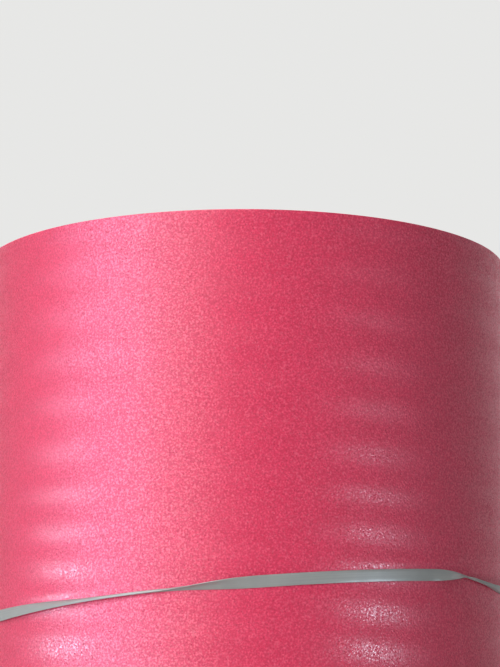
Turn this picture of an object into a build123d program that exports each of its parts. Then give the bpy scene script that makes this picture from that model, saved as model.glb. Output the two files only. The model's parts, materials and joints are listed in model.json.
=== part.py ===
from build123d import *
from math import acos, cos, degrees, radians, sin, sqrt
import os

# A roll of closed-cell polyethylene foam sheet that stands on its end, held by one flat strap.
# Lengths are in millimetres and angles in degrees. The origin is the middle of the bore at the
# lower end, +Z runs up the bore, and -Y is the front. Directions are measured from +X towards +Y.

# The foam sheet and how it is wound
sheet_width = 1000.0
sheet_thickness = 10.0
turn_count = 18
bore_radius = 38.0
tail_direction = 62.0

# On both ends each turn's inner side stands proud and its outer side is drawn in by this much
turn_slant_depth = 2.0

# The softened corner of the outer wall and of the bore's mouths
corner_width = 1.5
corner_depth = 2.5

# The strap, its tilted path and the weld where its ends lap
strap_width = 9.0
strap_thickness = 0.6
strap_clearance = 0.3
strap_height = 713.0
strap_tilt_rise = 18.0
strap_high_direction = -16.0
weld_direction = 90.0
weld_angle = 10.0

# The strap's two half twists, each with the angle that it reaches to either side of its middle
half_twists = {-111.0: 25.0, -33.0: 16.0}

# How far apart the strap's cross-sections are, and the longest span that is made in one go
station_angle = 4.0
longest_span_angle = 120.0

# Worked out from the values above. The roll is two half turns about two centres, which is how
# each turn climbs by one thickness of sheet.
centre_shift = sheet_thickness / 2
near_radius = bore_radius + turn_count * sheet_thickness
far_radius = near_radius + centre_shift
tail_bridge_angle = degrees(acos(near_radius / (near_radius + sheet_thickness)))


def half_roll(first_radius, turned_angle):
    """One half of the wound sheet, without its bore, turned about its own centre line."""
    lower_end = [(0, 0), (first_radius, 0)]
    for turn in range(1, turn_count):
        outer_side = first_radius + turn * sheet_thickness
        lower_end += [(outer_side, turn_slant_depth), (outer_side, 0)]
    wall = first_radius + turn_count * sheet_thickness
    lower_end += [(wall - corner_width, 0), (wall, corner_depth)]
    upper_end = [(x, sheet_width - z) for x, z in reversed(lower_end)]
    outline = Polyline(lower_end + upper_end, close=True)
    return revolve(Plane.XZ * make_face(outline), Axis.Z, turned_angle)


def bore_space():
    """The open bore with the softened corners at its two mouths."""
    mouth = bore_radius + corner_width
    lower_half = [(0, 0), (mouth, 0), (bore_radius, corner_depth)]
    upper_half = [(x, sheet_width - z) for x, z in reversed(lower_half)]
    return revolve(Plane.XZ * make_face(Polyline(lower_half + upper_half, close=True)), Axis.Z)


def inner_end_space():
    """The wedge of air beside the sheet's inner end, where the next turn bridges over it."""
    step_radius = bore_radius + sheet_thickness
    touch_angle = acos(bore_radius / step_radius)
    touch = (bore_radius * cos(touch_angle), -bore_radius * sin(touch_angle))
    return extrude(make_face(Polyline([(0, 0), (step_radius, 0), touch], close=True)), sheet_width)


def make_roll():
    """The wound sheet: two half turns joined, less the bore and the wedge at the inner end."""
    near_half = half_roll(bore_radius, 180)
    far_half = Pos(centre_shift, 0, 0) * half_roll(bore_radius + centre_shift, -180)
    roll = near_half + far_half - bore_space() - inner_end_space()
    return Rot(0, 0, tail_direction) * roll


def wall_radius(direction):
    """Distance from the bore's axis to the outside of the roll, as a tight strap follows it."""
    past_tail = (direction - tail_direction) % 360
    if past_tail < tail_bridge_angle:
        return near_radius / cos(radians(tail_bridge_angle - past_tail))
    if past_tail <= 180:
        return near_radius
    across = centre_shift * sin(radians(past_tail))
    return centre_shift * cos(radians(past_tail)) + sqrt(far_radius**2 - across**2)


def strap_twist(direction):
    """How far the strap has turned about its own length: it lingers where it is edge-on."""
    twist = 0.0
    for middle, reach in half_twists.items():
        share = min(max((direction - middle) / reach, -1), 1)
        twist += 90 + 90 * share**3 * (5 - 3 * share**2) / 2
    return twist


def strap_corners(direction, thickness):
    """The four corners of the strap's cross-section at one direction, in order round it."""
    twist = radians(strap_twist(direction))
    standing_reach = abs(sin(twist)) * strap_width / 2 + abs(cos(twist)) * thickness / 2
    radius = wall_radius(direction) + strap_clearance + standing_reach
    height = strap_height + strap_tilt_rise * cos(radians(direction - strap_high_direction))
    outward = Vector(cos(radians(direction)), sin(radians(direction)), 0)
    centre = outward * radius + Vector(0, 0, height)
    half_thick = (outward * cos(twist) + Vector(0, 0, sin(twist))) * (thickness / 2)
    half_wide = (Vector(0, 0, cos(twist)) - outward * sin(twist)) * (strap_width / 2)
    return [
        centre - half_thick - half_wide,
        centre + half_thick - half_wide,
        centre + half_thick + half_wide,
        centre - half_thick + half_wide,
    ]


def strap_span(start, end, thickness):
    """A length of strap between two directions, with a smooth curve along each of its corners."""
    count = round((end - start) / station_angle)
    shares = [step / count for step in range(count + 1)]
    stations = [strap_corners(start + (end - start) * share, thickness) for share in shares]
    rails = [
        Edge.make_spline([corners[number] for corners in stations], parameters=shares)
        for number in range(4)
    ]
    sides = [Face.make_surface_from_curves(rails[side - 1], rails[side]) for side in range(4)]
    ends = [make_face(Polyline(corners, close=True)).face() for corners in (stations[0], stations[-1])]
    return Solid(Shell(sides + ends))


def make_strap():
    """The whole strap: spans from the tail edge all the way round to it, one of them the weld."""
    start = tail_direction - 360
    weld_start = weld_direction - 360
    weld_end = weld_start + weld_angle
    strap = strap_span(start, weld_start, strap_thickness)
    strap += strap_span(weld_start, weld_end, 2 * strap_thickness)
    span_start = weld_end
    while span_start < tail_direction:
        span_end = min(span_start + longest_span_angle, tail_direction)
        strap += strap_span(span_start, span_end, strap_thickness)
        span_start = span_end
    return strap


parts = {"foam_roll": make_roll(), "strap": make_strap()}

os.makedirs("parts", exist_ok=True)
for name, shape in parts.items():
    export_step(shape, f"parts/{name}.step")
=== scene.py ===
import json
import logging
from dataclasses import dataclass
from enum import Enum
from math import acos, atan2, cos, hypot, pi, radians, sin, sqrt, tau

import bpy
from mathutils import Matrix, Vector, noise


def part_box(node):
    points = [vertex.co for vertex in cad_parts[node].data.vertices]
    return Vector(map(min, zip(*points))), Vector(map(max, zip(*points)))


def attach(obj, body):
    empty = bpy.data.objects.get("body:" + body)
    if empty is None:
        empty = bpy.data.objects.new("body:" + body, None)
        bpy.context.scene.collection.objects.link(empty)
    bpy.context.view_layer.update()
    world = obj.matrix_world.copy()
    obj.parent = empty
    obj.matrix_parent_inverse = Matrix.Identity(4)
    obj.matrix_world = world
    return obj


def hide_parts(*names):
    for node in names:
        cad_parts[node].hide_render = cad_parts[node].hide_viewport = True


# A roll of pink closed-cell foam sheet with waves across it, held by one flat strap.
# Lengths are in metres and angles in radians. +Z runs up the bore and -Y is the front.
# Directions are measured from +X towards +Y.

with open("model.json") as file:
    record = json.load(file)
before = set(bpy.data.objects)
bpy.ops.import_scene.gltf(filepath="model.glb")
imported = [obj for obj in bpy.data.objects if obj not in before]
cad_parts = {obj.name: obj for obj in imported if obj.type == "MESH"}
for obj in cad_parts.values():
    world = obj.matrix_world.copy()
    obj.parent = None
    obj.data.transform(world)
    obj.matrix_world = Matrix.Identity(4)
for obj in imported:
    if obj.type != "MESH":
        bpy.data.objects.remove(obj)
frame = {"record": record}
log = logging.getLogger("foam_roll_scene")

MM = 0.001

# What rounding may take from a whole number of turns
TURN_ROUNDING = 1e-3

Colour = tuple[float, float, float, float]
Socket = bpy.types.NodeSocket
Input = Socket | float | tuple


def smooth_step(share: float) -> float:
    """Return share eased in and out between 0 and 1, and held at them outside."""
    held = min(max(share, 0.0), 1.0)
    return held * held * (3 - 2 * held)


def soft_noise(first: float, second: float, third: float) -> float:
    """Return smooth noise between -1 and 1 at one place of its space."""
    return noise.noise(Vector((first, second, third)))


def as_share(value: float) -> float:
    """Return a value between -1 and 1 as a share between 0 and 1."""
    return 0.5 + 0.5 * value


def deselect_all() -> None:
    """Leave object mode with nothing selected, so that an operator acts on the next piece only."""
    if bpy.context.object and bpy.context.object.mode != "OBJECT":
        bpy.ops.object.mode_set(mode="OBJECT")
    bpy.ops.object.select_all(action="DESELECT")


def make_active(piece: bpy.types.Object) -> None:
    """Select this piece alone and make it the active one.

    Args:
        piece: The object that the next operators act on.
    """
    deselect_all()
    piece.select_set(True)
    bpy.context.view_layer.objects.active = piece


def apply_modifier(piece: bpy.types.Object, kind: str, **settings: object) -> None:
    """Add a modifier to a piece, set it up and apply it.

    Args:
        piece: The mesh object.
        kind: Blender's name for the modifier's type.
        **settings: The modifier's own properties by name.
    """
    make_active(piece)
    modifier = piece.modifiers.new(kind.title(), kind)
    for name, value in settings.items():
        setattr(modifier, name, value)
    bpy.ops.object.modifier_apply(modifier=modifier.name)


class Slot(Enum):
    """The record's material slots."""

    FOAM = "foam"
    STRAP = "strap"


class Coordinates(Enum):
    """What a pattern is laid out on."""

    OBJECT = "Object"
    UV = "UV"


@dataclass(frozen=True)
class Ramp:
    """A range of values, from low to high, and the range that it is spread over."""

    low: float
    high: float
    to_low: float
    to_high: float


class Graph:
    """A material's or a world's node tree, with short calls that add nodes and join them."""

    def __init__(self, owner: bpy.types.ID) -> None:
        """Start from the output and the one shader that a new tree holds.

        Args:
            owner: The new material or world.
        """
        owner.use_nodes = True
        self.tree = owner.node_tree
        self.shader = next(node for node in self.tree.nodes if node.outputs)
        self.output = next(node for node in self.tree.nodes if not node.outputs)

    def feed(self, socket: Socket, value: Input) -> None:
        """Give one input a value, or join another node's output to it.

        Args:
            socket: The input.
            value: A number, a colour or an output socket.
        """
        if isinstance(value, Socket):
            self.tree.links.new(value, socket)
        else:
            socket.default_value = value

    def set(self, node: bpy.types.Node, inputs: dict) -> None:
        """Set a node's inputs, by name or number, to values or to other nodes' outputs."""
        for key, value in inputs.items():
            self.feed(node.inputs[key], value)

    def add(self, kind: str, inputs: dict | None = None, **settings: object) -> bpy.types.Node:
        """Add a node.

        Args:
            kind: The node's type without its ShaderNode prefix.
            inputs: Values or other nodes' outputs, by the input's name or number.
            **settings: The node's own properties by name.

        Returns:
            The new node.
        """
        node = self.tree.nodes.new("ShaderNode" + kind)
        for name, value in settings.items():
            setattr(node, name, value)
        self.set(node, inputs or {})
        return node

    def coordinates(
        self, space: Coordinates, scale: tuple[float, float, float] = (1, 1, 1)
    ) -> Socket:
        """Return the coordinates in this space, with each axis enlarged so many times."""
        source = self.add("TexCoord").outputs[space.value]
        return self.add("Mapping", {"Vector": source, "Scale": scale}).outputs["Vector"]

    def noise(self, coordinates: Socket, scale: float, detail: float = 2.0) -> Socket:
        """Return noise from about 0.3 to 0.7, this fine and with so many finer layers."""
        inputs = {"Vector": coordinates, "Scale": scale, "Detail": detail}
        return self.add("TexNoise", inputs).outputs["Fac"]

    def cells(self, coordinates: Socket, size: float) -> Socket:
        """Return the distance to the middle of the nearest cell, in cells of about this size."""
        inputs = {"Vector": coordinates, "Scale": 1 / size}
        return self.add("TexVoronoi", inputs).outputs["Distance"]

    def spread(self, value: Socket, ramp: Ramp) -> Socket:
        """Return a value spread from one range over another and held inside it.

        Args:
            value: The socket that is read.
            ramp: The two ranges.

        Returns:
            The output socket of the new value.
        """
        inputs = {
            "Value": value,
            "From Min": ramp.low,
            "From Max": ramp.high,
            "To Min": ramp.to_low,
            "To Max": ramp.to_high,
        }
        return self.add("MapRange", inputs).outputs["Result"]

    def scaled(self, share: Socket, most: float) -> Socket:
        """Return a share between 0 and 1 scaled so that it ends at most."""
        return self.spread(share, Ramp(0, 1, 0, most))

    def times(self, value: Socket, factor: float) -> Socket:
        """Return a value multiplied by a plain number."""
        return self.add("Math", {0: value, 1: factor}, operation="MULTIPLY").outputs["Value"]

    def sum(self, first: Input, second: Socket, weight: float = 1.0) -> Socket:
        """Return the first value plus the second one times its weight."""
        inputs = {0: second, 1: weight, 2: first}
        return self.add("Math", inputs, operation="MULTIPLY_ADD").outputs["Value"]

    def mix(self, share: Input, first: Input, second: Input) -> Socket:
        """Return two colours mixed.

        Args:
            share: How much of the second colour there is, a number or a socket.
            first: The first colour or its socket.
            second: The second colour or its socket.

        Returns:
            The output socket of the mixed colour.
        """
        node = self.add("Mix", data_type="RGBA")
        for key, value in (("Factor", share), ("A", first), ("B", second)):
            self.feed(next(s for s in node.inputs if s.name == key and s.enabled), value)
        return next(s for s in node.outputs if s.name == "Result" and s.enabled)

    def bump(self, relief: Socket, depth: Input, strength: float) -> Socket:
        """Return the normals of a relief that is this deep in metres and shows this strongly."""
        inputs = {"Height": relief, "Distance": depth, "Strength": strength}
        return self.add("Bump", inputs).outputs["Normal"]

    def seen_rays(self) -> Socket:
        """Tell which rays show a surface as such: to the camera, in gloss or through glass.

        Returns:
            The output socket that is 1 for those rays and 0 for all others.
        """
        paths = self.add("LightPath").outputs
        seen = paths["Is Camera Ray"]
        for ray in ("Is Glossy Ray", "Is Transmission Ray"):
            seen = self.add("Math", {0: seen, 1: paths[ray]}, operation="MAXIMUM").outputs["Value"]
        return seen

    def show(self, shown: Socket, share: Socket) -> None:
        """Let rays find another shader in place of the tree's own one.

        Args:
            shown: The other shader's output socket.
            share: How much of it each ray finds, from 0 to 1.
        """
        inputs = {0: share, 1: self.shader.outputs[0], 2: shown}
        surface = self.add("MixShader", inputs).outputs["Shader"]
        self.set(self.output, {"Surface": surface})


@dataclass(frozen=True)
class FoamFinish:
    """Pink closed-cell foam: a satin skin of fine cells, and cut edges where the cells are open.
    Its colour carries painted glints and painted shade.
    """

    skin_colour: Colour = (0.89, 0.042, 0.135, 1)
    deep_colour: Colour = (0.46, 0.010, 0.045, 1)
    # A pale pink painted onto the grain's brightest spots as painted glints
    painted_glint_colour: Colour = (0.95, 0.50, 0.60, 1)
    cut_colour: Colour = (0.90, 0.13, 0.22, 1)

    # How large each pattern is
    cell_size: float = 1.9 * MM
    speck_size: float = 2.5 * MM
    grain_size: float = 1.5 * MM
    mottle_size: float = 22 * MM
    mottle_detail: float = 4.0

    # Where the cells' walls and hollows and the specks' pits are, by the distance to the middle
    cell_walls: Ramp = Ramp(0.35, 0.75, 0, 1)
    cell_hollows: Ramp = Ramp(0.1, 0.5, 1, 0)
    speck_pits: Ramp = Ramp(0.08, 0.28, 1, 0)

    # How much of the deep colour each pattern brings, and of the pale one the grain's painted
    # glints
    mottle_shade: Ramp = Ramp(0.35, 0.65, 0, 0.12)
    grain_shade: Ramp = Ramp(0.35, 0.65, 0.42, 0)
    # Pale painted glints on the grain's brightest spots
    grain_painted_glint: Ramp = Ramp(0.5, 0.68, 0, 0.19)
    # Painted shade in the specks' pits
    pit_painted_shade: float = 0.6
    wall_shade: float = 0.3
    # Painted shade in the open cells' hollows on cut edges
    hollow_painted_shade: float = 0.6
    cut_share: float = 0.75

    # The fine relief: the height of each pattern, and its depth on the skin and on cut edges
    hollow_relief: Ramp = Ramp(0, 1, 0.6, 0)
    grain_relief: float = 0.5
    pit_relief: float = -0.7
    skin_bump_depth: float = 0.15 * MM
    cut_bump_depth: float = 0.4 * MM
    bump_strength: float = 0.9

    # The gloss, duller in pits and on cut edges, and how light goes into the foam
    grain_roughness: Ramp = Ramp(0.35, 0.65, 0.56, 0.24)
    pit_roughness: float = 0.4
    cut_roughness: float = 0.3
    ior: float = 1.4
    subsurface_weight: float = 0.18
    subsurface_radius: tuple[float, float, float] = (1.0, 0.25, 0.3)
    subsurface_scale: float = 6 * MM

    def build(self) -> bpy.types.Material:
        """Make the foam's material, which reads the cut_edge attribute of the faces.

        Returns:
            The new material.
        """
        material = bpy.data.materials.new("foam_satin_cells")
        graph = Graph(material)
        place = graph.coordinates(Coordinates.OBJECT)
        cut = graph.add("Attribute", attribute_name="cut_edge").outputs["Fac"]
        cells = graph.cells(place, self.cell_size)
        walls = graph.spread(cells, self.cell_walls)
        hollows = graph.spread(cells, self.cell_hollows)
        pits = graph.spread(graph.cells(place, self.speck_size), self.speck_pits)
        grain = graph.noise(place, 1 / self.grain_size)
        mottle = graph.noise(place, 1 / self.mottle_size, self.mottle_detail)

        shades = (
            (graph.spread(mottle, self.mottle_shade), self.deep_colour),
            (graph.spread(grain, self.grain_shade), self.deep_colour),
            # Pale painted glints on the grain's brightest spots
            (graph.spread(grain, self.grain_painted_glint), self.painted_glint_colour),
            # Painted shade in the specks' pits
            (graph.scaled(pits, self.pit_painted_shade), self.deep_colour),
            (graph.scaled(walls, self.wall_shade), self.deep_colour),
        )
        colour = self.skin_colour
        for share, shade in shades:
            colour = graph.mix(share, colour, shade)
        # On cut edges the cut colour darkens in the open cells' hollows as painted shade
        painted_shade_in_hollows = graph.scaled(hollows, self.hollow_painted_shade)
        open_cells_painted_shade_colour = graph.mix(painted_shade_in_hollows, self.cut_colour, self.deep_colour)
        colour = graph.mix(graph.times(cut, self.cut_share), colour, open_cells_painted_shade_colour)

        relief = graph.sum(graph.spread(hollows, self.hollow_relief), grain, self.grain_relief)
        relief = graph.sum(relief, pits, self.pit_relief)
        depth = graph.spread(cut, Ramp(0, 1, self.skin_bump_depth, self.cut_bump_depth))
        roughness = graph.spread(grain, self.grain_roughness)
        roughness = graph.sum(roughness, pits, self.pit_roughness)
        roughness = graph.sum(roughness, cut, self.cut_roughness)

        inputs = {
            "Base Color": colour,
            "Roughness": roughness,
            "Normal": graph.bump(relief, depth, self.bump_strength),
            "IOR": self.ior,
            "Subsurface Weight": self.subsurface_weight,
            "Subsurface Radius": self.subsurface_radius,
            "Subsurface Scale": self.subsurface_scale,
        }
        graph.set(graph.shader, inputs)
        return material


@dataclass(frozen=True)
class StrapFinish:
    """Grey drawn plastic: satin, with fine lines along the strap."""

    colour: Colour = (0.34, 0.355, 0.34, 1)
    dark_colour: Colour = (0.22, 0.235, 0.225, 1)
    lines_along: float = 8.0
    lines_across: float = 26.0
    clouds_per_metre: float = 60.0
    detail: float = 3.0
    line_shade: Ramp = Ramp(0.4, 0.7, 0, 0.6)
    cloud_shade: Ramp = Ramp(0.4, 0.65, 0, 0.3)
    cloud_roughness: Ramp = Ramp(0.3, 0.7, 0.3, 0.44)
    bump_depth: float = 0.05 * MM
    bump_strength: float = 0.8
    ior: float = 1.5

    def build(self) -> bpy.types.Material:
        """Make the strap's material, which is laid out on the strap's own UV map.

        Returns:
            The new material.
        """
        material = bpy.data.materials.new("strap_grey_satin")
        graph = Graph(material)
        along = graph.coordinates(Coordinates.UV, (self.lines_along, self.lines_across, 1))
        lines = graph.noise(along, 1.0, self.detail)
        place = graph.coordinates(Coordinates.OBJECT)
        cloud = graph.noise(place, self.clouds_per_metre, self.detail)
        line_share = graph.spread(lines, self.line_shade)
        cloud_share = graph.spread(cloud, self.cloud_shade)
        colour = graph.mix(line_share, self.colour, self.dark_colour)
        inputs = {
            "Base Color": graph.mix(cloud_share, colour, self.dark_colour),
            "Roughness": graph.spread(cloud, self.cloud_roughness),
            "Normal": graph.bump(lines, self.bump_depth, self.bump_strength),
            "IOR": self.ior,
        }
        graph.set(graph.shader, inputs)
        return material


@dataclass(frozen=True)
class FloorFinish:
    """Plain pale matte floor with a trace of unevenness, pale to the camera and to reflections."""

    colour: Colour = (0.80, 0.795, 0.78, 1)
    cloud_brightness: float = 0.96
    clouds_per_metre: float = 3.0
    detail: float = 4.0
    roughness: float = 0.8
    specular_level: float = 0.0
    shown_share: float = 0.7

    def build(self) -> bpy.types.Material:
        """Make the floor's material.

        Returns:
            The new material.
        """
        material = bpy.data.materials.new("floor_pale_matte")
        graph = Graph(material)
        place = graph.coordinates(Coordinates.OBJECT)
        cloud = graph.noise(place, self.clouds_per_metre, self.detail)
        shade = tuple(self.cloud_brightness * part for part in self.colour[:3]) + (1,)
        inputs = {
            "Base Color": graph.mix(cloud, self.colour, shade),
            "Roughness": self.roughness,
            "Specular IOR Level": self.specular_level,
        }
        graph.set(graph.shader, inputs)
        glow = graph.add("Emission", {"Color": self.colour})
        shown_share = graph.times(graph.seen_rays(), self.shown_share)
        graph.show(glow.outputs["Emission"], shown_share)
        return material


@dataclass(frozen=True)
class RollShape:
    """How the sheet is wound: the sizes that the foam and the strap share."""

    height: float
    bore_radius: float
    sheet_thickness: float = 10 * MM
    turn_count: int = 18
    tail_direction: float = radians(62)
    settling_turns: int = 4

    @property
    def centre_shift(self) -> float:
        """Return how far the second half turn's centre is from the bore's axis."""
        return self.sheet_thickness / 2

    @property
    def near_radius(self) -> float:
        """Return the wall's radius along the half turn that follows the tail."""
        return self.bore_radius + self.turn_count * self.sheet_thickness

    def hugging_radius(self, radius: float, past_tail: float) -> float:
        """Return the radius of a line that keeps to a circle and then climbs straight over a step.

        Args:
            radius: The circle's radius.
            past_tail: The angle round from the sheet's end, from 0 to a full turn.

        Returns:
            The line's distance from the bore's axis.
        """
        step_angle = acos(radius / (radius + self.sheet_thickness))
        climb = max(past_tail - (tau - step_angle), 0.0)
        return radius / cos(climb)

    def two_centre_radius(self, radius: float, past_tail: float) -> float:
        """Return the radius of a line made of two half turns about two centres.

        Args:
            radius: The first half turn's radius.
            past_tail: The angle round from the sheet's end, from 0 to a full turn.

        Returns:
            The line's distance from the bore's axis.
        """
        if past_tail <= pi:
            return radius
        shift = self.centre_shift
        across = shift * sin(past_tail)
        return shift * cos(past_tail) + sqrt((radius + shift) ** 2 - across**2)

    def seam_radius(self, seam: int, past_tail: float) -> float:
        """Return where the seam after so many turns lies. Seam 0 is the bore's wall.

        Args:
            seam: The number of turns inside the seam.
            past_tail: The angle round from the sheet's end, from 0 to a full turn.

        Returns:
            The seam's distance from the bore's axis.
        """
        radius = self.bore_radius + seam * self.sheet_thickness
        settled = min(seam / self.settling_turns, 1.0)
        hugging = self.hugging_radius(radius, past_tail)
        return hugging + settled * (self.two_centre_radius(radius, past_tail) - hugging)

    def wall_radius(self, direction: float) -> float:
        """Return the distance from the bore's axis to the wall, as a tight strap follows it.

        Args:
            direction: The direction seen from the bore's axis.

        Returns:
            The distance, which bridges the step at the tail.
        """
        past_tail = (direction - self.tail_direction) % tau
        bridge_angle = acos(self.near_radius / (self.near_radius + self.sheet_thickness))
        if past_tail < bridge_angle:
            return self.near_radius / cos(bridge_angle - past_tail)
        return self.two_centre_radius(self.near_radius, past_tail)


@dataclass(frozen=True)
class HalfTwist:
    """A place where the strap is turned over, edge-on at its middle."""

    direction: float
    reach_before: float
    reach_after: float

    def turned(self, direction: float) -> float:
        """Return how far the strap has turned over at this direction.

        Args:
            direction: The direction, counted on from the strap's start.

        Returns:
            The angle that it has turned, from 0 to half a turn.
        """
        off_middle = direction - self.direction
        reach = self.reach_before if off_middle < 0 else self.reach_after
        return pi / 2 * (1 + min(max(off_middle / reach, -1.0), 1.0))


@dataclass(frozen=True)
class StrapPath:
    """Where the strap runs round the roll, and how it presses into the foam."""

    shape: RollShape

    # The strap's cross-section, and how it gathers and curls where it is edge-on
    width: float = 9 * MM
    thickness: float = 0.6 * MM
    gathered_share: float = 0.66
    curl_depth: float = 1.5 * MM

    # The tilted plane that it lies in, and the dip beyond the second half twist
    height: float = 713 * MM
    tilt_rise: float = 18 * MM
    high_direction: float = radians(-16)
    dip_depth: float = 8.5 * MM
    dip_start: float = radians(317.5)
    dip_low: float = radians(338)
    dip_end: float = radians(400)

    # How deep it lies in the foam, where its ends lap, and its half twists
    flat_bed_depth: float = 0.8 * MM
    edge_bed_depth: float = 1.1 * MM
    start: float = radians(90)
    lap_angle: float = radians(10)
    lap_ramp_angle: float = radians(6)
    twists: tuple[HalfTwist, ...] = (
        HalfTwist(radians(253), radians(43), radians(23)),
        HalfTwist(radians(324), radians(12.5), radians(28)),
    )

    def unwound(self, direction: float) -> float:
        """Return the same direction counted on from the strap's start."""
        return self.start + (direction - self.start) % tau

    def rise(self, direction: float) -> float:
        """Return the height of the strap's middle line, which dips beyond the second half twist.

        Args:
            direction: The direction seen from the bore's axis.

        Returns:
            The height above the roll's lower end.
        """
        unwound = self.unwound(direction)
        falling = smooth_step((unwound - self.dip_start) / (self.dip_low - self.dip_start))
        rising = smooth_step((unwound - self.dip_low) / (self.dip_end - self.dip_low))
        dip = self.dip_depth * (falling - rising)
        return self.height + self.tilt_rise * cos(direction - self.high_direction) - dip

    def twist(self, direction: float) -> float:
        """Return how far the strap has turned about its own length, from its start on."""
        return sum(twist.turned(direction) for twist in self.twists)

    def bed_radius(self, direction: float) -> float:
        """Return the radius of the strap's inner side, pressed into the foam most where edge-on.

        Args:
            direction: The direction seen from the bore's axis.

        Returns:
            The distance from the bore's axis.
        """
        edge_on = abs(sin(self.twist(self.unwound(direction))))
        depth = self.flat_bed_depth + edge_on * (self.edge_bed_depth - self.flat_bed_depth)
        return self.shape.wall_radius(direction) - depth

    def footprint(self, direction: float) -> float:
        """Return half of the height of the band that the strap covers at this direction."""
        twist = self.twist(self.unwound(direction))
        return (abs(cos(twist)) * self.width + abs(sin(twist)) * self.thickness) / 2


@dataclass
class FoamRoll:
    """The wound foam sheet: its waves, its wound ends, its tail edge and its open bore."""

    shape: RollShape
    path: StrapPath
    finish: FoamFinish

    # The mesh: its columns, gathered towards the tail edge, and its rows, finer near the strap
    columns: int = 168
    gathered_columns: int = 7
    gathering_power: float = 1.5
    row_step: float = 4.1 * MM
    fine_row_step: float = 1.5 * MM
    fine_band: float = 34 * MM
    bore_rows: int = 12
    merge_distance: float = 0.01 * MM
    smooth_angle: float = radians(50)

    # The waves across the sheet, a little wider apart near the upper end
    wave_pitch: float = 28.6 * MM
    wave_height: float = 0.95 * MM
    wave_lead: float = 35.5 * MM
    wave_tilt: float = 4.3 * MM
    wave_settling_depth: float = 200 * MM
    rim_fade: float = 14 * MM

    # How much the waves sway and swell and the wall is dented. A rate says how fast that changes
    # round the roll, a length over how much height, and a start keeps it apart from the others.
    sway_share: float = 0.12
    sway_rate: float = 2.0
    sway_length: float = 100 * MM
    swell_share: float = 0.35
    swell_rate: float = 3.0
    swell_length: float = 60 * MM
    swell_start: float = 5.0
    wall_unevenness: float = 0.6 * MM
    dent_rate: float = 1.5
    dent_length: float = 300 * MM

    # The bed of the strap
    strap_clearance: float = 0.1 * MM
    bed_ramp: float = 5 * MM

    # The tail's corner, and the outermost turn, whose cut edge is squarer than the others
    tail_corner: float = 2 * MM
    outer_corner_share: float = 0.4
    outer_settling_angle: float = radians(20)

    # How uneven the turns are in height and tightness, how fast that changes round the roll and
    # with each turn, where in the noise it starts, and how it settles near the sheet's two ends
    end_unevenness: float = 1.6 * MM
    end_rate: float = 3.0
    end_turn_rate: float = 1.3
    end_start: float = 40.0
    seam_unevenness: float = 0.5 * MM
    seam_rate: float = 2.0
    seam_turn_rate: float = 1.9
    end_settling_angle: float = radians(40)
    end_settling_turns: float = 1.5

    # A face near an end counts as cut where its normal leans this much along the bore
    cut_slope: float = 0.15

    # One turn's cut edge: the share across the sheet, and the depth below the end's plane
    seam_depth: float = 4.5 * MM
    turn_outline: tuple[tuple[float, float], ...] = (
        (0.0, 4.5 * MM),
        (0.05, 1.4 * MM),
        (0.13, 0.3 * MM),
        (0.28, 0.0),
        (0.62, 0.8 * MM),
        (0.86, 1.8 * MM),
        (0.96, 2.9 * MM),
    )

    @property
    def end_zone(self) -> float:
        """Return the height that the turns' cut edges take up at each end, with a little room."""
        return self.seam_depth + MM

    def wall_heights(self) -> list[float]:
        """List the heights of the wall's rows, closer together where the strap runs.

        Returns:
            The heights from the lower end up.
        """
        top = self.shape.height - self.seam_depth
        heights = [self.seam_depth]
        while heights[-1] < top - self.row_step:
            near_strap = abs(heights[-1] - self.path.height) < self.fine_band
            heights.append(heights[-1] + (self.fine_row_step if near_strap else self.row_step))
        return heights[:-1] + [top]

    def half_section(self) -> list[tuple[float, float]]:
        """Draw the roll's half section.

        Returns:
            Its closed outline as radius and height.
        """
        radius, thickness = self.shape.bore_radius, self.shape.sheet_thickness
        lower = [
            (radius + (turn + share) * thickness, depth)
            for turn in range(self.shape.turn_count)
            for share, depth in self.turn_outline
        ]
        wall = [(self.shape.near_radius, height) for height in self.wall_heights()]
        upper = [(x, self.shape.height - depth) for x, depth in reversed(lower)]
        gap = self.shape.height - 2 * self.seam_depth
        bore = [
            (radius, self.shape.height - self.seam_depth - gap * row / self.bore_rows)
            for row in range(1, self.bore_rows)
        ]
        return lower + wall + upper + bore

    def spin_section(self) -> bpy.types.Object:
        """Spin the half section one full turn about the bore's axis.

        Returns:
            The new object, with only its last column selected.
        """
        section = self.half_section()
        mesh = bpy.data.meshes.new("foam_roll_wound")
        edges = [(number, (number + 1) % len(section)) for number in range(len(section))]
        mesh.from_pydata([(radius, 0, height) for radius, height in section], edges, [])
        roll = bpy.data.objects.new("foam_roll_wound", mesh)
        bpy.context.collection.objects.link(roll)
        make_active(roll)
        bpy.ops.object.mode_set(mode="EDIT")
        bpy.ops.mesh.select_all(action="SELECT")
        bpy.ops.mesh.spin(
            steps=self.columns, angle=tau, center=(0, 0, 0), axis=(0, 0, -1), use_auto_merge=False
        )
        bpy.ops.object.mode_set(mode="OBJECT")
        return roll

    def wave_drop(self, height: float, direction: float) -> float:
        """Return how far the wall lies below the crests of the waves.

        Args:
            height: The height of the point.
            direction: The direction of the point seen from the bore's axis.

        Returns:
            The drop, from 0 on a crest to the wave's height in a trough.
        """
        depth = self.shape.height - height
        settled = min(depth / self.wave_settling_depth, 1.0)
        lead = self.wave_lead * settled + self.wave_tilt * cos(direction)
        sway = soft_noise(
            self.sway_rate * cos(direction),
            self.sway_rate * sin(direction),
            height / self.sway_length,
        )
        swell = soft_noise(
            self.swell_rate * sin(direction),
            self.swell_rate * cos(direction),
            self.swell_start + height / self.swell_length,
        )
        phase = (depth - lead) / self.wave_pitch + self.sway_share * sway
        strength = self.wave_height * (1 + self.swell_share * swell)
        from_end = min(height, self.shape.height - height) - self.seam_depth
        return strength * smooth_step(from_end / self.rim_fade) * (1 - cos(tau * phase)) / 2

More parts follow.
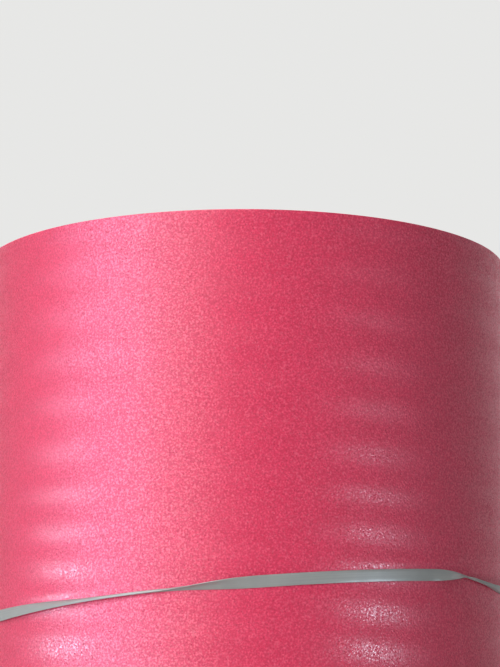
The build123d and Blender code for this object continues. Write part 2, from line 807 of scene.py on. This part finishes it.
    def wall_point_radius(self, radius: float, height: float, direction: float) -> float:
        """Return the wall's radius at a point, with its waves and the bed of the strap.

        Args:
            radius: The plain wall's radius there.
            height: The height of the point.
            direction: The direction of the point seen from the bore's axis.

        Returns:
            The finished radius.
        """
        dent = soft_noise(
            self.dent_rate * cos(direction),
            self.dent_rate * sin(direction),
            height / self.dent_length,
        )
        wavy = radius - self.wave_drop(height, direction) - self.wall_unevenness * as_share(dent)
        off_strap = abs(height - self.path.rise(direction)) - self.path.footprint(direction)
        pressed = self.path.bed_radius(direction) - self.strap_clearance
        share = 1 - smooth_step(off_strap / self.bed_ramp)
        return wavy - share * max(wavy - pressed, 0.0)

    def tail_corner_drop(self, from_tail: float) -> float:
        """Return how far the tail's rounded corner lies below the plain wall.

        Args:
            from_tail: The distance along the wall to the tail edge.

        Returns:
            The drop, which is 0 beyond the corner.
        """
        if from_tail >= self.tail_corner:
            return 0.0
        return self.tail_corner - sqrt(self.tail_corner**2 - (self.tail_corner - from_tail) ** 2)

    def outer_corner_height(self, height: float, turns: float, past_tail: float) -> float:
        """Return the height of a point, with the outermost turn's cut edge squarer than the others.

        Args:
            height: The point's height on the spun section.
            turns: How many turns lie inside it.
            past_tail: Its angle round from the sheet's end, from 0 to a full turn.

        Returns:
            The height, nearer to the end's plane on the outermost turn.
        """
        # The outer half of the outermost turn isn't covered, and its inner half eases into the rest
        covered = smooth_step((self.shape.turn_count - turns) * 2 - 1)
        square = smooth_step(past_tail / self.outer_settling_angle) * (1 - covered)
        share = 1 - square * (1 - self.outer_corner_share)
        if height <= self.end_zone:
            return height * share
        if height >= self.shape.height - self.end_zone:
            return self.shape.height - (self.shape.height - height) * share
        return height

    def gathered_angle(self, past_tail: float) -> float:
        """Return a column's angle, with the last columns gathered towards the tail edge.

        Args:
            past_tail: The angle on the spun section, from 0 to a full turn.

        Returns:
            The angle on the wound roll.
        """
        steps_back = round((tau - past_tail) / tau * self.columns)
        if not 0 < steps_back < self.gathered_columns:
            return past_tail
        gathered = (steps_back / self.gathered_columns) ** self.gathering_power
        return tau - tau * steps_back / self.columns * gathered

    def inside_share(self, turns: float, past_tail: float) -> float:
        """Return how uneven the winding may be at a point.

        Args:
            turns: How many turns lie inside it.
            past_tail: Its angle round from the sheet's end, from 0 to a full turn.

        Returns:
            The share, which is 1 inside and falls to 0 at the tail edge and at the inner end.
        """
        after_start = smooth_step(past_tail / self.end_settling_angle)
        before_end = smooth_step(1 - (tau - past_tail) / self.end_settling_angle)
        inside = self.shape.turn_count + 1 - turns - after_start
        share = smooth_step(inside / self.end_settling_turns)
        return share * smooth_step((turns + before_end) / self.end_settling_turns)

    def loosened(
        self, radius: float, height: float, turns: float, past_tail: float
    ) -> tuple[float, float]:
        """Return a point inside the wall, moved as its turn is uneven in tightness and height.

        Args:
            radius: The point's distance from the bore's axis.
            height: The point's height.
            turns: How many turns lie inside it.
            past_tail: Its angle round from the sheet's end, from 0 to a full turn.

        Returns:
            The new distance and the new height.
        """
        inside = self.inside_share(turns, past_tail)
        direction = self.shape.tail_direction + past_tail
        wound = turns + past_tail / tau
        loose = soft_noise(
            self.seam_turn_rate * wound,
            self.seam_rate * cos(direction),
            self.seam_rate * sin(direction),
        )
        uneven = soft_noise(
            self.end_turn_rate * wound + self.end_start,
            self.end_rate * cos(direction),
            self.end_rate * sin(direction),
        )
        sunk = inside * self.end_unevenness * as_share(uneven)
        if height < self.end_zone:
            height += sunk
        elif height > self.shape.height - self.end_zone:
            height -= sunk
        return radius + inside * self.seam_unevenness * loose, height

    def wind_vertex(self, place: Vector, past_tail: float) -> Vector:
        """Return where a point of the spun section lies once the sheet is wound.

        Args:
            place: The point on the spun section.
            past_tail: Its angle round the bore's axis, from 0 to a full turn.

        Returns:
            The point's place on the finished roll.
        """
        shape = self.shape
        turns = (hypot(place.x, place.y) - shape.bore_radius) / shape.sheet_thickness
        seam = int(turns + TURN_ROUNDING)
        across = max(turns - seam, 0.0)
        past_tail = self.gathered_angle(past_tail)
        direction = shape.tail_direction + past_tail
        radius = shape.seam_radius(seam, past_tail)
        outer = shape.seam_radius(min(seam + 1, shape.turn_count), past_tail)
        radius += across * (outer - radius)
        height = self.outer_corner_height(place.z, turns, past_tail)
        if seam == shape.turn_count:
            radius = self.wall_point_radius(radius, height, direction)
            radius -= self.tail_corner_drop((tau - past_tail) * radius)
        else:
            radius, height = self.loosened(radius, height, turns, past_tail)
        return Vector((radius * cos(direction), radius * sin(direction), height))

    def wind(self, roll: bpy.types.Object) -> None:
        """Turn the spun section into the wound sheet, and close its seam and its two end steps.

        Args:
            roll: The object that spin_section made. Its last column is still selected.
        """
        for vertex in roll.data.vertices:
            angle = tau if vertex.select else atan2(vertex.co.y, vertex.co.x) % tau
            vertex.co = self.wind_vertex(vertex.co, angle)
        make_active(roll)
        bpy.ops.object.mode_set(mode="EDIT")
        bpy.ops.mesh.select_all(action="SELECT")
        bpy.ops.mesh.remove_doubles(threshold=self.merge_distance)
        bpy.ops.mesh.fill_holes(sides=0)
        bpy.ops.mesh.select_all(action="SELECT")
        bpy.ops.mesh.normals_make_consistent(inside=False)
        bpy.ops.mesh.select_all(action="DESELECT")
        bpy.ops.mesh.select_non_manifold()
        bpy.ops.object.mode_set(mode="OBJECT")
        points = roll.data.vertices
        open_points = sum(vertex.select for vertex in points)
        log.info("foam_roll_wound: %d points, %d on open edges", len(points), open_points)

    def mark_cut_edges(self, roll: bpy.types.Object) -> None:
        """Mark the faces where the sheet was cut, which are its ends, its tail and its inner end.

        Args:
            roll: The wound object.
        """
        marks = roll.data.attributes.new("cut_edge", "FLOAT", "FACE")
        wound_corners = 4
        edge_zone = self.seam_depth + self.end_unevenness
        for face in roll.data.polygons:
            from_end = min(face.center.z, self.shape.height - face.center.z)
            at_end = from_end < edge_zone and abs(face.normal.z) > self.cut_slope
            # The two faces with more corners close the tail and the inner end
            marks.data[face.index].value = float(at_end or len(face.vertices) > wound_corners)

    def build(self) -> bpy.types.Object:
        """Returns:
            The finished piece.
        """
        roll = self.spin_section()
        self.wind(roll)
        self.mark_cut_edges(roll)
        make_active(roll)
        bpy.ops.object.shade_smooth_by_angle(angle=self.smooth_angle)
        roll.data.materials.append(self.finish.build())
        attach(roll, "root")
        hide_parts("foam_roll")
        return roll


@dataclass
class Strap:
    """The flat strap: one band laid round the roll with two half twists and a lapped weld."""

    path: StrapPath
    finish: StrapFinish
    stations: int = 370
    columns_across: int = 4
    edge_round: float = 0.18 * MM
    edge_round_segments: int = 2
    edge_angle: float = radians(60)
    smooth_angle: float = radians(40)

    # How far the upper end is lifted where it laps over the lower one, in strap thicknesses
    lap_lift: float = 1.05

    def lay_vertex(self, along: float, across: float) -> Vector:
        """Return where a point of the flat band lies once the strap is round the roll.

        Args:
            along: The share of the strap's length, from 0 at its start to 1.
            across: The share of its width from the middle, from -0.5 to 0.5.

        Returns:
            The point's place on the strap's middle layer.
        """
        path = self.path
        direction = path.start + along * (tau + path.lap_angle)
        twist = path.twist(direction)
        width = path.width * (1 - path.gathered_share * sin(twist) ** 4)
        standing = (abs(sin(twist)) * width + abs(cos(twist)) * path.thickness) / 2
        into_lap = (direction - (path.start + tau - path.lap_ramp_angle)) / path.lap_ramp_angle
        lift = smooth_step(into_lap) * path.thickness * self.lap_lift
        radius = path.bed_radius(direction) + standing + lift
        outward = Vector((cos(direction), sin(direction), 0))
        wide_way = Vector((0, 0, cos(twist))) - outward * sin(twist)
        thick_way = outward * cos(twist) + Vector((0, 0, sin(twist)))
        # It curls by half of the depth one way in its middle, and the other way at its edges
        bow = path.curl_depth * sin(twist) ** 2 * (0.5 - 4 * across**2)
        centre = outward * radius + Vector((0, 0, path.rise(direction)))
        return centre + wide_way * across * width + thick_way * bow

    def build(self) -> bpy.types.Object:
        """Returns:
            The finished piece.
        """
        deselect_all()
        bpy.ops.mesh.primitive_grid_add(
            x_subdivisions=self.stations, y_subdivisions=self.columns_across, size=1, calc_uvs=True
        )
        strap = bpy.context.object
        strap.name = strap.data.name = "strap_laid"
        for vertex in strap.data.vertices:
            vertex.co = self.lay_vertex(vertex.co.x + 0.5, vertex.co.y)
        apply_modifier(
            strap, "SOLIDIFY", thickness=self.path.thickness, offset=0, use_even_offset=True
        )
        apply_modifier(
            strap,
            "BEVEL",
            width=self.edge_round,
            segments=self.edge_round_segments,
            limit_method="ANGLE",
            angle_limit=self.edge_angle,
        )
        make_active(strap)
        bpy.ops.object.mode_set(mode="EDIT")
        bpy.ops.mesh.select_all(action="SELECT")
        bpy.ops.mesh.normals_make_consistent(inside=False)
        bpy.ops.object.mode_set(mode="OBJECT")
        bpy.ops.object.shade_smooth_by_angle(angle=self.smooth_angle)
        strap.data.materials.append(self.finish.build())
        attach(strap, "root")
        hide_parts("strap")
        return strap


class LampReach(Enum):
    """Whether a lamp lights matt colour, and whether gloss shows it."""

    BOTH = (True, True)
    MATT = (True, False)
    GLOSS = (False, True)


@dataclass(frozen=True)
class Softbox:
    """One soft lamp that faces the roll from a direction round it."""

    name: str
    azimuth: float
    elevation: float
    distance: float
    width: float
    height: float
    power: float
    colour: tuple[float, float, float] = (1.0, 1.0, 1.0)
    reach: LampReach = LampReach.BOTH

    # The angle that the light leaves the lamp in
    spread: float = radians(125)

    def build(self, target: Vector) -> None:
        """Place the lamp and turn it to the target.

        Args:
            target: The point that the lamp faces.
        """
        deselect_all()
        level = cos(self.elevation) * self.distance
        rise = sin(self.elevation) * self.distance
        away = Vector((sin(self.azimuth) * level, -cos(self.azimuth) * level, rise))
        bpy.ops.object.light_add(type="AREA", location=target + away)
        lamp = bpy.context.object
        lamp.name = self.name
        lamp.data.shape = "RECTANGLE"
        lamp.data.size = self.width
        lamp.data.size_y = self.height
        lamp.data.energy = self.power
        lamp.data.color = self.colour
        lamp.data.spread = self.spread
        lamp.rotation_euler = (-away).to_track_quat("-Z", "Y").to_euler()
        lamp.visible_diffuse, lamp.visible_glossy = self.reach.value


@dataclass
class Studio:
    """The pale floor, the soft lamps, the pale background and the camera of the photograph."""

    shape: RollShape

    # The camera. Its distance and drop are counted in front radii of the roll.
    front_radius: float = 223 * MM
    camera_distance: float = 7.67
    camera_drop: float = 1.787
    pitch: float = radians(11.46)
    yaw: float = radians(0.2)
    focal_pixels: float = 2037.0
    image_height_pixels: float = 667.0
    sensor: float = 36.0

    # The pale background, the soft sky and the floor
    background: Colour = (0.80, 0.80, 0.79, 1)
    ambient: Colour = (0.78, 0.82, 0.90, 1)
    ambient_strength: float = 0.24
    floor_size: float = 40.0

    # The lamps, which face the middle of the bore at this share of the roll's height
    lamp_target_share: float = 0.75
    lamps: tuple[Softbox, ...] = (
        Softbox(
            "key_window", azimuth=radians(-27), elevation=radians(9), distance=0.88,
            width=0.45, height=1.5, power=4.15, colour=(1.0, 0.98, 0.97),
        ),
        Softbox(
            "back_window", azimuth=radians(214), elevation=radians(30), distance=2.6,
            width=1.6, height=1.6, power=21.0, reach=LampReach.MATT,
        ),
        Softbox(
            "rear_window", azimuth=radians(155), elevation=radians(30), distance=2.6,
            width=1.6, height=1.6, power=18.0, reach=LampReach.MATT,
        ),
        Softbox(
            "haze_window", azimuth=radians(-55), elevation=radians(4), distance=2.0,
            width=1.3, height=2.6, power=55.0, colour=(0.48, 0.68, 1.0), reach=LampReach.GLOSS,
        ),
        Softbox(
            "left_window", azimuth=radians(-75), elevation=radians(-7), distance=2.0,
            width=0.5, height=0.3, power=14.5, colour=(0.6, 0.8, 1.0), reach=LampReach.GLOSS,
        ),
        Softbox(
            "right_window", azimuth=radians(52), elevation=radians(-9), distance=2.0,
            width=0.35, height=0.22, power=10.0, colour=(0.7, 0.85, 1.0), reach=LampReach.GLOSS,
        ),
        Softbox(
            "ceiling_window", azimuth=radians(-40), elevation=radians(78), distance=1.6,
            width=1.8, height=1.8, power=50.0, reach=LampReach.GLOSS,
        ),
    )

    def add_floor(self) -> None:
        """Add the floor, which isn't part of the object."""
        deselect_all()
        bpy.ops.mesh.primitive_plane_add(size=self.floor_size)
        floor = bpy.context.object
        floor.name = "floor"
        floor.data.materials.append(FloorFinish().build())

    def add_background(self) -> None:
        """Set a soft sky for the light, and a pale colour for the camera and for reflections."""
        world = bpy.data.worlds.new("studio_air")
        bpy.context.scene.world = world
        graph = Graph(world)
        graph.set(graph.shader, {"Color": self.ambient, "Strength": self.ambient_strength})
        pale = graph.add("Background", {"Color": self.background})
        graph.show(pale.outputs["Background"], graph.seen_rays())

    def add_camera(self) -> None:
        """Add the camera at the photograph's angle, a little below the strap and looking up."""
        deselect_all()
        direction = self.shape.tail_direction
        centre = Vector((cos(direction), sin(direction), 0)) * self.shape.centre_shift
        back = Vector((0, -self.camera_distance * self.front_radius, 0))
        height = self.shape.height - self.camera_drop * self.front_radius
        place = centre + back + Vector((0, 0, height))
        bpy.ops.object.camera_add(location=place, rotation=(pi / 2 + self.pitch, 0, -self.yaw))
        camera = bpy.context.object
        camera.data.sensor_width = self.sensor
        camera.data.lens = self.sensor * self.focal_pixels / self.image_height_pixels
        bpy.context.scene.camera = camera

    def build(self) -> None:
        """Add everything that stands round the roll."""
        self.add_floor()
        self.add_background()
        target = Vector((0, 0, self.lamp_target_share * self.shape.height))
        for lamp in self.lamps:
            lamp.build(target)
        self.add_camera()
        bpy.context.scene.view_settings.view_transform = "Standard"


def main() -> None:
    """Build the roll, its strap and the studio, in that order."""
    logging.basicConfig(level=logging.INFO)
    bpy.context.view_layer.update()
    bore = next(mount for mount in frame["record"]["mounts"] if mount["kind"] == "bore")
    shape = RollShape(height=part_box("foam_roll")[1][2], bore_radius=bore["dims"]["r_mm"] * MM)
    path = StrapPath(shape)
    for assembly in (FoamRoll(shape, path, FoamFinish()), Strap(path, StrapFinish())):
        piece = assembly.build()
        log.info("%s has %d faces", piece.name, len(piece.data.polygons))
    Studio(shape).build()
    log.info("the studio stands")


if __name__ == "__main__":
    main()
